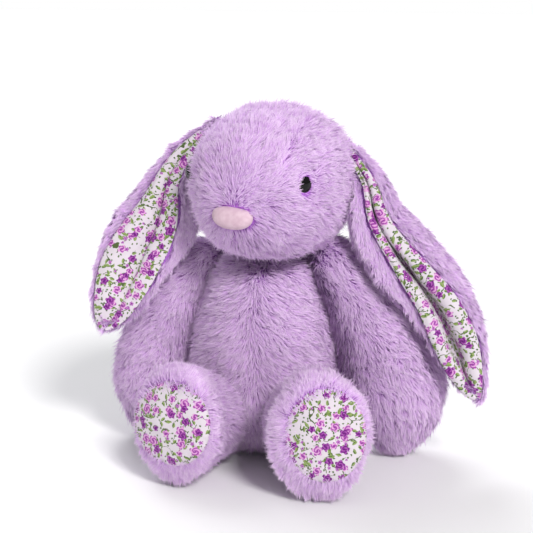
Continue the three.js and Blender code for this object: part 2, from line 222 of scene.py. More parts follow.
def stuffed(rows, up, around=84, along=76):
    """A closed stuffed form: at each point of the middle line, an ellipse square to it."""
    line, forward = middle_line(rows, along)
    up = np.array(up, float)
    depth = unit(up - (forward @ up)[:, None] * forward)
    width = np.cross(depth, forward)
    angle = 2 * np.pi * np.arange(around) / around
    return (line[:, None, :3]
            + width[:, None] * line[:, 3, None, None] * np.cos(angle)[:, None]
            + depth[:, None] * line[:, 4, None, None] * np.sin(angle)[:, None])


def slopes(grid):
    """Differences of a grid down its rows and round its closed columns."""
    return np.gradient(grid, axis=0), (np.roll(grid, -1, 1) - np.roll(grid, 1, 1)) / 2


def normals_of(grid):
    """Outward unit normals of a closed grid: the cross product of its two slopes."""
    down, turn = slopes(grid)
    facing = np.cross(down, turn)
    outward = np.sign((facing * (grid - grid.mean((0, 1)))).sum())
    normal = unit(facing) * outward
    normal[0] = unit(normal[1].mean(0))
    normal[-1] = unit(normal[-2].mean(0))
    return normal


def waves(point, size, seed, count=9):
    """A smooth random vector field: the sum of sine waves of about this size in random directions."""
    draw = np.random.default_rng(seed)
    pitch = draw.normal(size=(3, 3, count)) * 2 * np.pi / size / 1.7
    start = draw.uniform(0, 2 * np.pi, (3, count))
    field = [np.sin(point @ pitch[k] + start[k]).sum(-1) for k in range(3)]
    return np.stack(field, -1) / math.sqrt(count)


def add_piece(name, mesh, body, material):
    """Puts a finished mesh in the scene, smooth shaded, with its material, body and slot."""
    mesh.materials.append(material)
    mesh.polygons.foreach_set("use_smooth", np.ones(len(mesh.polygons), bool))
    piece = bpy.data.objects.new(name, mesh)
    scene.collection.objects.link(piece)
    if body:
        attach(piece, body)
    return piece


def closed_mesh(name, grid):
    """A closed mesh over a grid: columns wrap round, and the first and last rows are each drawn
    together into one point."""
    rows, columns = grid.shape[:2]
    number = np.zeros((rows, columns), int)
    number[1:-1] = 1 + np.arange((rows - 2) * columns).reshape(rows - 2, columns)
    number[-1] = (rows - 2) * columns + 1
    points = np.vstack([grid[:1].mean(1), grid[1:-1].reshape(-1, 3), grid[-1:].mean(1)])
    upper, lower = number[:-1], number[1:]
    quads = np.stack([upper, np.roll(upper, -1, 1), np.roll(lower, -1, 1), lower], -1)
    down, turn = slopes(grid)
    if (np.cross(turn, down) * (grid - grid.mean((0, 1))))[1:-1].sum() < 0:
        quads = quads[..., ::-1]
    faces = [list(dict.fromkeys(face)) for face in quads.reshape(-1, 4).tolist()]
    mesh = bpy.data.meshes.new(name)
    mesh.from_pydata(points.tolist(), [], faces)
    return mesh


def roots_on(grid, count, seed, share):
    """Random roots spread by area over a closed grid, thinned by the share given at each grid
    point. Gives each root's place, normal and direction down the grid."""
    draw = np.random.default_rng(seed)
    fields = np.concatenate([grid, normals_of(grid), slopes(grid)[0], share[..., None]], -1)
    fields = np.concatenate([fields, fields[:, :1]], 1)
    a, b, c, d = fields[:-1, :-1], fields[1:, :-1], fields[:-1, 1:], fields[1:, 1:]
    area = np.linalg.norm(np.cross((d - a)[..., :3], (c - b)[..., :3]), axis=-1)
    chance = area * ((a + b + c + d) / 4)[..., 9]
    cell = draw.choice(chance.size, count, p=chance.ravel() / chance.sum())
    i, j = np.divmod(cell, chance.shape[1])
    s, t = draw.random((2, count, 1))
    near = (1 - t) * a[i, j] + t * c[i, j]
    far = (1 - t) * b[i, j] + t * d[i, j]
    found = (1 - s) * near + s * far
    return found[:, :3], unit(found[:, 3:6]), unit(found[:, 6:9])


def pile_mesh(name, root, normal, lay, length, lift=(58, 20), wander=0.27, seed=0):
    """Brushed pile: each tuft is a narrow ribbon that leaves the backing steeply, turns over the way
    it is brushed and ends in a point. A slow wander draws neighbours into locks. The shading
    normals are mostly the backing's, as on a soft nap that scatters light."""
    draw = np.random.default_rng(seed)
    count = len(root)
    lay = unit(lay) + wander * waves(root, SWIRL, seed) + wander * waves(root, LOCK, seed + 1)
    lay = lay + STRAY * draw.normal(size=lay.shape)
    lay = unit(lay - (lay * normal).sum(-1, keepdims=True) * normal)
    locks = waves(root, LOCK, seed + 2)[:, 0]
    loose = draw.random(count) < LOOSE
    length = length * draw.uniform(*LENGTHS, count) * (1 + 0.09 * locks + 0.3 * loose)
    lift = np.array(lift) + (4 * locks + 11 * loose)[:, None]
    rise = np.radians(lift + draw.uniform(-10, 10, (count, 1)))[..., None]
    first, second = (normal * np.sin(rise[:, k]) + lay * np.cos(rise[:, k]) for k in (0, 1))
    foot = root - ROOTED * normal
    knee = foot + first * (BEND * length)[:, None]
    tip = knee + second * ((1 - BEND) * length)[:, None]
    twist = draw.uniform(-0.8, 0.8, (count, 1))
    side = np.cross(lay, normal) * np.cos(twist) + normal * np.sin(twist)
    half = side * TUFT / 2 * draw.uniform(0.75, 1.3, (count, 1))
    points = np.stack([foot - half, foot + half, knee - 0.9 * half, knee + 0.9 * half, tip], 1)
    points[..., 2] = np.maximum(points[..., 2], FLOOR)
    corners = (5 * np.arange(count)[:, None] + np.array([0, 1, 3, 2, 2, 3, 4])).ravel()
    mesh = bpy.data.meshes.new(name)
    mesh.vertices.add(count * 5)
    mesh.vertices.foreach_set("co", points.ravel())
    mesh.loops.add(count * 7)
    mesh.loops.foreach_set("vertex_index", corners)
    mesh.polygons.add(count * 2)
    mesh.polygons.foreach_set("loop_start", (7 * np.arange(count)[:, None] + [0, 4]).ravel())
    mesh.update(calc_edges=True)
    tuft = np.repeat(draw.random(count), 5)
    height = np.tile(TUFT_SHARES, count)
    for label, values in (("height", height), ("tuft", tuft)):
        mesh.attributes.new(label, "FLOAT", "POINT").data.foreach_set("value", values)
    across = np.tile([0.2, 0.8, 0.2, 0.8, 0.5], count)
    cell = np.stack([(np.floor(tuft * 32) + across) / 32, 0.02 + 0.96 * height], -1)
    mesh.uv_layers.new(name="OFBake").data.foreach_set("uv", cell[corners].ravel())
    mesh.polygons.foreach_set("use_smooth", np.ones(count * 2, bool))
    facing = unit(np.cross(side, second))
    facing *= np.sign((facing * normal).sum(-1, keepdims=True))
    shading = unit(NAP_SHADE * normal + TUFT_SHADE * facing)
    mesh.normals_split_custom_set_from_vertices(np.repeat(shading, 5, 0))
    return mesh


def seen(red, green, blue):
    """A linear colour from the 0 to 255 values that a screen shows."""
    shown = (red, green, blue)
    return tuple(((c / 255 + 0.055) / 1.055) ** 2.4 if c > 10 else c / 3295 for c in shown) + (1,)


def feed(tree, node, values):
    """Gives a node its inputs. A value that is a socket makes a link, and any other value is set."""
    for key, value in values.items():
        if isinstance(value, bpy.types.NodeSocket):
            tree.links.new(value, node.inputs[key])
        else:
            node.inputs[key].default_value = value


def spaced(named):
    """Keywords as the names of inputs."""
    return {key.replace("_", " "): value for key, value in named.items()}


def add_node(tree, kind, *inputs, operation=None, **named):
    """A node of this kind, with its inputs in order or by name."""
    node = tree.nodes.new(kind)
    if operation:
        node.operation = operation
    feed(tree, node, dict(enumerate(inputs)) | spaced(named))
    return node


def new_finish(name, roughness, **named):
    """A Principled material: gives it, its node tree and its shader."""
    finish = bpy.data.materials.new(name)
    finish.use_nodes = True
    tree = finish.node_tree
    shader = tree.nodes["Principled BSDF"]
    feed(tree, shader, {"Roughness": roughness, "Specular IOR Level": 0.25} | spaced(named))
    return finish, tree, shader


def colours_along(tree, value, *stops):
    """A colour ramp through (place, colour) stops."""
    node = add_node(tree, "ShaderNodeValToRGB", value)
    band = node.color_ramp
    while len(band.elements) < len(stops):
        band.elements.new(0.5)
    for element, (place, tint) in zip(band.elements, stops):
        element.position = place
        element.color = seen(*tint)
    return node.outputs["Color"]


def noise(tree, scale, detail=2.0, place=None):
    """Soft random values, this many to the metre, over the piece or over the place given."""
    if place is None:
        place = add_node(tree, "ShaderNodeTexCoord").outputs["Object"]
    return add_node(tree, "ShaderNodeTexNoise", Vector=place, Scale=scale, Detail=detail).outputs["Fac"]


def mottled(name, roughness, scale, detail, *stops, **named):
    """A new finish whose colour drifts through these stops. Gives the drift too."""
    finish, tree, shader = new_finish(name, roughness, **named)
    drift = noise(tree, scale, detail)
    feed(tree, shader, {"Base Color": colours_along(tree, drift, *stops)})
    return finish, tree, shader, drift


def add_relief(tree, node, height, strength, distance):
    """Fine relief on a shader, or under another relief."""
    relief = add_node(tree, "ShaderNodeBump", Height=height, Strength=strength, Distance=distance)
    feed(tree, node, {"Normal": relief.outputs["Normal"]})
    return relief


def calc(tree, operation, a, b=0.0):
    """One sum on values or sockets."""
    return add_node(tree, "ShaderNodeMath", a, b, operation=operation).outputs["Value"]


def attribute(tree, name):
    """The value of a point attribute."""
    node = tree.nodes.new("ShaderNodeAttribute")
    node.attribute_name = name
    return node.outputs["Fac"]


def lilac_pile():
    """The pile: deep violet at the backing and pale at the tips. The deep violet is painted shade for
    the depths between the tufts. Each tuft is a little different, and the dye took more in some
    patches than in others."""
    finish, tree, shader = new_finish(
        "lilac_pile", 0.8, Sheen_Weight=0.3, Sheen_Roughness=0.5, Sheen_Tint=seen(228, 190, 245))
    # Deep violet at the roots: painted shade between the tufts.
    pile = colours_along(
        tree, attribute(tree, "height"), (0.0, (160, 88, 192)), (0.4, (209, 162, 226)),
        (0.75, (225, 196, 233)), (1.0, (238, 219, 243)))
    both = calc(tree, "ADD", attribute(tree, "tuft"), noise(tree, 45.0))
    value = add_node(tree, "ShaderNodeMapRange", both, 0.3, 1.7, 0.88, 1.1).outputs["Result"]
    shade = add_node(tree, "ShaderNodeHueSaturation", Value=value, Color=pile)
    feed(tree, shader, {"Base Color": shade.outputs["Color"]})
    return finish


pile_finish = lilac_pile()
# The knitted backing that the pile grows from, with its fine loops. Its deep violet is painted
# shade where it shows between the tufts.
backing_finish, tree, shader, knit = mottled(
    "lilac_backing", 0.95, 900.0, 2.0, (0.3, (156, 88, 188)), (0.7, (186, 124, 212)))
add_relief(tree, shader, knit, 0.4, 0.0004)


def add_backing(name, grid, body, fill, *replaced):
    """The stuffed backing under the pile, standing for its CAD panels and their filling."""
    skin = add_piece(name, closed_mesh(name, grid), body, backing_finish)
    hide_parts(*replaced)
    return skin


def add_pile(name, body, roots, lay, length=PILE, **options):
    """One panel's pile."""
    mesh = pile_mesh(name, roots[0], roots[1], lay, length, **options)
    return add_piece(name, mesh, body, pile_finish)


def under_pile(grid):
    """A form drawn in by the depth of its brushed pile, and made a little lumpy by its stuffing."""
    lumps = LUMPS * waves(grid, LUMP_SIZE, seed=5)[..., :1]
    return grid - (PILE_LIES + lumps) * normals_of(grid)


def worn(grid):
    """The share of the pile that is left near the table."""
    return np.clip(grid[..., 2] / WORN_BELOW, WORN_SHARE, 1)


def parted(off_seam, amount):
    """The share of the pile that is left at this distance from a seam."""
    return 1 - amount * np.exp(-(off_seam / SEAM_WIDTH) ** 2)


torso = under_pile(stuffed(placed(box_of(*TORSO_PANELS), TORSO), (0, 1, 0)))
torso[..., 2] = np.maximum(torso[..., 2], SEAT)
add_backing(
    "torso_backing", torso, "torso", 0.8, *TORSO_PANELS, "torso_stuffing", "bean_pouch", "seat_panel")


def brushed_out(point):
    """Out to both sides from the middle seam, and a little down."""
    sideways = np.tanh(point[:, :1] / BELLY_SWEEP)
    return np.hstack([sideways, 0 * sideways, -0.4 - 0.6 * (1 - sideways ** 2)])


for side, sign in (("front", -1), ("back", 1)):
    share = (torso[..., 1] * sign > 0) * worn(torso)
    share *= parted(torso[..., 0], BELLY_PARTS)
    roots = roots_on(torso, TORSO_TUFTS[side], 10 + sign, share)
    add_pile(f"torso_{side}_pile", "torso", roots, brushed_out(roots[0]), seed=20 + sign)

# ------------------------ tail
# A round powder-puff of the same plush over a ball of fibre, sewn to the back seam above the seat.
TAIL_PILE = 0.009
TAIL_TUFTS = 13000
TAIL_BRUSHED = [0, -0.006, -0.012]  # the pile is brushed away from a point above the tail's back


def ball(centre, radii, across=(1, 0, 0), up=(0, 0, 1), along=30, around=44):
    """A closed ellipsoid: circles of latitude about the third axis, from one pole to the other."""
    across, up = np.array(across, float), np.array(up, float)
    third = np.cross(across, up)
    angle = np.pi * np.linspace(0, 1, along)[:, None, None]
    turn = (2 * np.pi * np.arange(around) / around)[:, None]
    return (centre + radii[0] * across * np.sin(angle) * np.cos(turn)
            + radii[1] * up * np.sin(angle) * np.sin(turn) + radii[2] * third * np.cos(angle))


tail_low, tail_high = box_of("tail_cover")
tail_radius = (tail_high[0] - tail_low[0]) / 2
tail_centre = (tail_low + tail_high) / 2
tail_centre[1] = tail_high[1] - tail_radius
tail = under_pile(ball(tail_centre, np.full(3, tail_radius)))
add_backing("tail_backing", tail, "torso", 0.7, "tail_cover", "tail_stuffing")
roots = roots_on(tail, TAIL_TUFTS, 31, np.ones(tail.shape[:2]))
tail_lay = roots[0] - tail_centre + TAIL_BRUSHED
add_pile("tail_pile", "torso", roots, tail_lay, TAIL_PILE, lift=(66, 40), seed=32)

# ------------------------ head
# Two plush side panels and a gusset that runs from the nose over the crown to the nape, stuffed
# hard. The pile is brushed back from the nose, and parts along the gusset's two seams.
HEAD_PANELS = ["head_gusset", "head_side_left", "head_side_right"]
HEAD_MIDDLE = [0.496, 0.582, 0.496]
HEAD_YAW = math.radians(-9)
HEAD_ROLL = math.radians(3)
GUSSET_HALF_WIDTH = 0.027
HEAD_FULLNESS = 0.055  # how far the stuffing pushes the head out between its top, sides and base
# Each row, as shares of the panels' height: a place across, along and up from the head's middle,
# then the half width and half depth.
HEAD = [
    [0, 0.467, 0.000, 0, 0],
    [0.025, 0.345, 0.000, 0.375, 0.370],
    [0.045, 0.081, 0.002, 0.485, 0.480],
    [0.038, -0.203, -0.014, 0.468, 0.458],
    [0.015, -0.415, -0.072, 0.405, 0.398],
    [-0.005, -0.570, -0.125, 0.275, 0.265],
    [-0.010, -0.655, -0.150, 0, 0],
]


def turning(angle, first, second):
    """A matrix that turns one axis towards another."""
    turn = np.eye(3)
    turn[first, first] = turn[second, second] = math.cos(angle)
    turn[first, second], turn[second, first] = -math.sin(angle), math.sin(angle)
    return turn


head_low, head_high = box_of(*HEAD_PANELS)
head_middle = head_low + np.array(HEAD_MIDDLE) * (head_high - head_low)
head_turn = turning(HEAD_YAW, 0, 1) @ turning(HEAD_ROLL, 2, 0)
local_head = stuffed(np.array(HEAD) * (head_high - head_low)[2], (0, 0, 1))
from_line = local_head - local_head.mean(1, keepdims=True)
round_line = np.arctan2(from_line[..., 2:], from_line[..., :1])
local_head = under_pile(local_head + HEAD_FULLNESS * np.sin(2 * round_line) ** 2 * from_line)
head = head_middle + local_head @ head_turn.T

# ---- nose: a small cushion of short-napped pink velour, flat along its top edge
NOSE_THICK = 0.0062
NOSE_SUNK = 0.0015
NOSE_UP = [0, 0.16, 0.987]  # its upward direction on the head
# Its outline: shares of the CAD nose's half width and height, and the powers that square it off.
NOSE_WIDE, NOSE_SQUARE = 0.94, 0.85
NOSE_TOP, NOSE_FLAT = 0.84, 0.72
NOSE_BASE = 1.08
NOSE_RIM = 0.8  # the power that rounds the cushion's rim
nose_low, nose_high = box_of("nose")
nose_half = (nose_high - nose_low) / 2
nose_across = head_turn @ np.array([1, 0, 0])
nose_up = head_turn @ np.array(NOSE_UP)
nose_out = np.cross(nose_across, nose_up)
nose_centre = (nose_low + nose_high) / 2 - NOSE_SUNK * nose_out
nose_angle = np.pi * np.linspace(0, 1, 36)[:, None, None]
nose_turn = (2 * np.pi * np.arange(72) / 72)[:, None]
sway, rise = np.cos(nose_turn), np.sin(nose_turn)
nose_side = NOSE_WIDE * np.sign(sway) * np.abs(sway) ** NOSE_SQUARE
nose_rise = np.where(rise > 0, NOSE_TOP * np.abs(rise) ** NOSE_FLAT, -NOSE_BASE * np.abs(rise))
nose_rim = nose_across * nose_half[0] * nose_side + nose_up * nose_half[2] * nose_rise
nose = (nose_centre + nose_rim * np.sin(nose_angle) ** NOSE_RIM
        + nose_out * NOSE_THICK * -np.cos(nose_angle))
# Dusty pink velour: a very short nap, with small cloudy changes where it is pressed.
velour, tree, shader, _ = mottled(
    "pink_velour", 0.85, 260.0, 3.0, (0.3, (198, 168, 183)), (0.7, (213, 188, 200)),
    Sheen_Weight=0.5, Sheen_Roughness=0.35, Sheen_Tint=seen(250, 235, 240))
add_relief(tree, shader, noise(tree, 2600.0), 0.35, 0.0003)
nose_pad = add_piece("nose_velour", closed_mesh("nose_velour", nose), "head", velour)
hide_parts("nose", "nose_padding")

# ---- eyes: glossy black safety eyes, pushed through the cover and locked by washers inside
EYE_RADIUS = 0.0069
EYE_DOME = 0.0050
EYE_PROUD = 0.0021  # how far it stands out beyond the CAD eye, so that it clears the pile
EYE_DROP = 0.0018
EYE_ANGLE = math.radians(53)
EYE_TILT = 0.07
# Polished black plastic with a trace of fine dust in its gloss.
gloss, tree, shader, dust = mottled(
    "black_gloss", 0.08, 700.0, 3.0, (0.4, (6, 5, 6)), (0.75, (16, 13, 16)),
    Coat_Weight=0.1, Coat_Roughness=0.03)
rough = add_node(tree, "ShaderNodeMapRange", dust, 0.3, 0.8, 0.05, 0.14).outputs["Result"]
feed(tree, shader, {"Roughness": rough, "Specular IOR Level": 0.2})
# Milky polypropylene with the fine ripple of moulding, for the washers.
milky = mottled("washer_plastic", 0.45, 500.0, 2.0, (0.3, (226, 226, 222)), (0.7, (240, 240, 236)))[0]
eye_centres = []
for side, sign in (("left", 1), ("right", -1)):
    out = head_turn @ unit(np.array([sign * math.sin(EYE_ANGLE), -math.cos(EYE_ANGLE), EYE_TILT]))
    dome = np.array([tuple(v.co) for v in bpy.data.objects[f"eye_{side}"].data.vertices])
    centre = dome[(dome @ out).argmax()] - (EYE_DOME - EYE_PROUD) * out
    centre = centre - np.array([0, 0, EYE_DROP])
    eye_centres.append(centre)
    across = unit(np.cross((0, 0, 1), out))
    bead = ball(centre, (EYE_RADIUS, EYE_RADIUS, EYE_DOME), across, np.cross(out, across), 40, 56)
    name = f"eye_{side}_bead"
    eye = add_piece(name, closed_mesh(name, bead), "head", gloss)
    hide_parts(f"eye_{side}")
    for slot in bpy.data.objects[f"eye_washer_{side}"].material_slots:
        slot.material = milky

# ---- cover
EYE_CLEAR = {"left": 0.0080, "right": 0.0042}  # radius of bare backing round each eye
EYE_UPSTREAM = 0.0010  # how far that bare ring is shifted towards the nose
EYE_SHORT = 0.016  # the pile is clipped shorter within this distance of the left eye
NOSE_CLEAR = 0.94  # the pile stops at this share of the nose's size
NOSE_DEEP = 0.02  # and only this far behind it
NOSE_SHORT = 0.045  # the pile is clipped shorter within this distance of the nose
GUSSET_PARTS = 0.4
MOUTH_HALF, MOUTH_TOP, MOUTH_BACK = 0.0007, -0.012, -0.03  # a parting below the nose
MOUTH_PARTS = 0.9
BRUSHED_FROM = [0, -0.062, -0.012]  # the place on the face that the pile is brushed away from
BRUSHED_DOWN = [0, 0.15, -0.25]
SEAM_PARTS = 0.0045  # how far from a seam the pile turns away from it
SEAM_TURN = 0.55
NAPE_REACH, NAPE_DOWN = 0.03, 0.9  # the pile of the nape is brushed downwards

add_backing("head_backing", head, "head", 0.9, *HEAD_PANELS, "head_stuffing")
head_share = np.ones(head.shape[:2])
for clear, centre in zip(EYE_CLEAR.values(), eye_centres):
    upstream = centre + EYE_UPSTREAM * unit(nose_centre - centre)
    head_share *= np.linalg.norm(head - upstream, axis=-1) > clear
from_nose = (head - nose_centre) @ np.stack([nose_across / nose_half[0], nose_up / nose_half[2]], 1)
in_front = (head - nose_centre) @ nose_out > -NOSE_DEEP
head_share *= ~((np.linalg.norm(from_nose, axis=-1) < NOSE_CLEAR) & in_front)
across_head = local_head[..., 0]
off_seam = np.abs(np.abs(across_head) - GUSSET_HALF_WIDTH)
on_top = local_head[..., 2] > 0
head_share *= parted(off_seam, GUSSET_PARTS * on_top)
below = (local_head[..., 2] < MOUTH_TOP) & (local_head[..., 1] < MOUTH_BACK)
head_share *= 1 - MOUTH_PARTS * (below & (np.abs(across_head) < MOUTH_HALF))


def brushed_back(point):
    """Back from the nose and a little down, and away from the gusset's seams."""
    local = (point - head_middle) @ head_turn
    lay = unit(local - BRUSHED_FROM) + BRUSHED_DOWN
    off = np.abs(local[:, 0]) - GUSSET_HALF_WIDTH
    part = np.sign(local[:, 0]) * np.sign(off) * np.exp(-(off / SEAM_PARTS) ** 2)
    lay[:, 0] += SEAM_TURN * part * (local[:, 2] > 0)
    lay[:, 2] -= NAPE_DOWN * np.clip(local[:, 1] / NAPE_REACH, 0, 1)
    return lay @ head_turn.T


gusset = on_top & (np.abs(across_head) < GUSSET_HALF_WIDTH)
# Each panel: where it is, its number of tufts and how steeply they leave the backing and end.
head_panels = {
    "gusset": (gusset, 42000, (48, 13)),
    "side_left": ((across_head >= 0) & ~gusset, 41000, (57, 19)),
    "side_right": ((across_head < 0) & ~gusset, 41000, (57, 19)),
}
for number, (panel, (region, tufts, lift)) in enumerate(head_panels.items()):
    roots = roots_on(head, tufts, 40 + number, head_share * region)
    near_nose = np.linalg.norm(roots[0] - nose_centre, axis=-1)
    near_eye = np.linalg.norm(roots[0] - eye_centres[0], axis=-1)
    length = PILE * np.clip(0.45 + near_nose / NOSE_SHORT, 0.6, 1)
    length = length * np.clip(near_eye / EYE_SHORT, 0.5, 1)
    lay = brushed_back(roots[0])
    add_pile(f"head_{panel}_pile", "head", roots, lay, length, lift=lift, seed=43 + number)

# ------------------------ arms
# Two long sewn tubes of plush, loosely stuffed, each a front and a back panel. They are sewn into
# the side seams at the shoulder and hang to the seat, with the pile brushed down and out.
# Each row: shares of the arm's box, then the half width and half depth as shares of its height.
ARMS = {
    "left": [
        [0.016, 0.622, 0.990, 0, 0],
        [0.170, 0.606, 0.905, 0.135, 0.140],
        [0.347, 0.573, 0.751, 0.172, 0.175],
        [0.524, 0.540, 0.545, 0.228, 0.221],
        [0.640, 0.491, 0.280, 0.255, 0.240],
        [0.680, 0.459, -0.031, 0, 0],
    ],
    "right": [
        [0.981, 0.572, 0.963, 0, 0],
        [0.793, 0.554, 0.887, 0.122, 0.137],
        [0.577, 0.535, 0.727, 0.167, 0.175],
        [0.415, 0.517, 0.484, 0.202, 0.205],
        [0.361, 0.499, 0.245, 0.209, 0.217],
        [0.334, 0.480, -0.031, 0, 0],
    ],
}
ARM_TUFTS = {"front": 31000, "back": 27000}
ARM_FLARE = 0.35  # how much the pile is brushed outwards

for number, (side, rows) in enumerate(ARMS.items()):
    parts = [f"arm_{side}_front", f"arm_{side}_back"]
    arm = under_pile(stuffed(placed(box_of(*parts), rows), (0, 1, 0)))
    add_backing(f"arm_{side}_backing", arm, f"arm_{side}", 0.65, *parts, f"arm_{side}_stuffing")
    seam = np.median(arm[..., 1])
    outward = 1 if side == "left" else -1
    halves = (("front", arm[..., 1] <= seam), ("back", arm[..., 1] > seam))
    for k, (panel, region) in enumerate(halves):
        roots = roots_on(arm, ARM_TUFTS[panel], 50 + 10 * number + k, region.astype(float))
        lay = unit(roots[2]) + np.array([ARM_FLARE * outward, 0, 0])
        add_pile(f"arm_{side}_{panel}_pile", f"arm_{side}", roots, lay, seed=52 + 10 * number + k)

# ------------------------ legs and feet
# Short plush tubes that end in a foot, each an upper and a lower panel, with an oval sole of
# printed cotton sewn into the open end. The pile stands out all round the sole like a collar.
# Each row: shares of the leg's box, then the half width and half depth as shares of its height.
LEGS = {
    "left": [
        [0.168, 0.994, 0.367, 0, 0],
        [0.244, 0.832, 0.380, 0.269, 0.295],
        [0.345, 0.579, 0.407, 0.356, 0.389],
        [0.482, 0.305, 0.475, 0.390, 0.475],
        [0.560, 0.110, 0.530, 0.395, 0.505],
        [0.583, -0.08, 0.530, 0, 0],
    ],
    "right": [
        [0.684, 0.997, 0.366, 0, 0],
        [0.612, 0.820, 0.380, 0.269, 0.296],
        [0.583, 0.577, 0.407, 0.356, 0.390],
        [0.515, 0.334, 0.460, 0.350, 0.450],
        [0.490, 0.130, 0.510, 0.385, 0.470],
        [0.465, -0.08, 0.520, 0, 0],
    ],
}
# Each sole: its turn and lean in degrees, half width and half height, and how far it sits up.
SOLES = {"left": (8, 10, 0.0240, 0.0280, 0.0034), "right": (-16, 8, 0.0268, 0.0260, 0.0015)}
SOLE_DOME = 0.0045
SOLE_TUCK = 0.0015  # how deep the sole's edge is drawn into the plush
SOLE_BED = 0.004  # how deep the backing is drawn in behind the sole
SOLE_GAP = 0.0005
PUCKERS, LUMPS_OF_SOLE = 0.0004, 0.0007
COTTON = 0.0010
COLLAR = 0.013  # how far back the roll of plush round the sole begins
FACE = 0.0015  # how far the backing's end stands in front of the sole's middle plane
RIM_REACH = 0.018  # depth of the rim where the pile is denser
RIM_DENSER = 1.5
LEG_TUFTS = {"upper": 31000, "lower": 28000}
FULL_TURN = 6.28
STEM = 0.011  # width of the printed stems, in the range of their noise
HAND = 0.0011  # how far the print's edges wobble
THREADS = 12000.0  # radians of weave to the metre


def cell_pattern(tree, place, size, seed):
    """Scattered spots, one in each cell of this size: gives the vector from a spot's centre and
    three random values of its own."""
    shifted = vector_calc(tree, "ADD", place, (seed, seed * 0.37, 0))
    spots = add_node(tree, "ShaderNodeTexVoronoi", Vector=shifted, Scale=1 / size, Randomness=0.75)
    spots.voronoi_dimensions = "2D"
    away = vector_calc(tree, "SUBTRACT", shifted, spots.outputs["Position"])
    split = add_node(tree, "ShaderNodeSeparateColor", spots.outputs["Color"])
    return away, split.outputs[0], split.outputs[1], split.outputs[2]


def over(tree, below, above, mask):
    """One printed colour over another where the mask is on."""
    mix = tree.nodes.new("ShaderNodeMix")
    mix.data_type = "RGBA"
    feed(tree, mix, {"Factor": mask, 6: below, 7: above})
    return mix.outputs[2]


def vector_calc(tree, operation, a, b):
    """One sum on vectors."""
    return add_node(tree, "ShaderNodeVectorMath", a, b, operation=operation).outputs[0]


def chosen(tree, mask, random, share):
    """A mask kept on only this share of its spots."""
    return calc(tree, "MULTIPLY", mask, calc(tree, "LESS_THAN", random, share))


def rose(tree, cloth, place, size, radius, share, seed, dark, mid, pale):
    """Small printed roses: five soft lobes, with a darker heart and swirled petals in two tones."""
    away, one, two, three = cell_pattern(tree, place, size, seed)
    split = add_node(tree, "ShaderNodeSeparateXYZ", away)
    angle = calc(tree, "ARCTAN2", split.outputs["Y"], split.outputs["X"])
    length = add_node(tree, "ShaderNodeVectorMath", away, operation="LENGTH").outputs["Value"]
    turn = calc(tree, "MULTIPLY", two, FULL_TURN)
    lobes = calc(tree, "SINE", calc(tree, "ADD", calc(tree, "MULTIPLY", angle, 5), turn))
    edge = calc(tree, "ADD", calc(tree, "MULTIPLY", lobes, 0.2 * radius), radius)
    edge = calc(tree, "MULTIPLY", edge, calc(tree, "ADD", calc(tree, "MULTIPLY", three, 0.5), 0.72))
    inside = calc(tree, "LESS_THAN", length, edge)
    swirl = calc(tree, "MULTIPLY", length, 9 / radius)
    spiral = calc(tree, "ADD", calc(tree, "MULTIPLY", angle, 2), swirl)
    petals = calc(tree, "SINE", calc(tree, "ADD", spiral, turn))
    heart = calc(tree, "LESS_THAN", length, 0.3 * radius)
    petal_colour = over(tree, mid, pale, calc(tree, "GREATER_THAN", petals, 0.1))
    petal_colour = over(tree, petal_colour, dark, calc(tree, "LESS_THAN", petals, -0.65))
    petal_colour = over(tree, petal_colour, dark, heart)
    return over(tree, cloth, petal_colour, chosen(tree, inside, one, share))


def leaf(tree, cloth, place, size, long, wide, share, seed, green, shade):
    """Small printed leaves: ellipses turned every way, one half darker than the other."""
    away, one, two, _ = cell_pattern(tree, place, size, seed)
    turn = calc(tree, "MULTIPLY", two, FULL_TURN)
    turned = add_node(tree, "ShaderNodeVectorRotate", Vector=away, Angle=turn)
    split = add_node(tree, "ShaderNodeSeparateXYZ", turned.outputs["Vector"])
    x = calc(tree, "POWER", calc(tree, "ABSOLUTE", calc(tree, "DIVIDE", split.outputs["X"], long)), 1.6)
    y = calc(tree, "POWER", calc(tree, "ABSOLUTE", calc(tree, "DIVIDE", split.outputs["Y"], wide)), 1.3)
    inside = calc(tree, "LESS_THAN", calc(tree, "ADD", x, y), 1.0)
    colour = over(tree, green, shade, calc(tree, "GREATER_THAN", split.outputs["Y"], 0.1 * wide))
    return over(tree, cloth, colour, chosen(tree, inside, one, share))


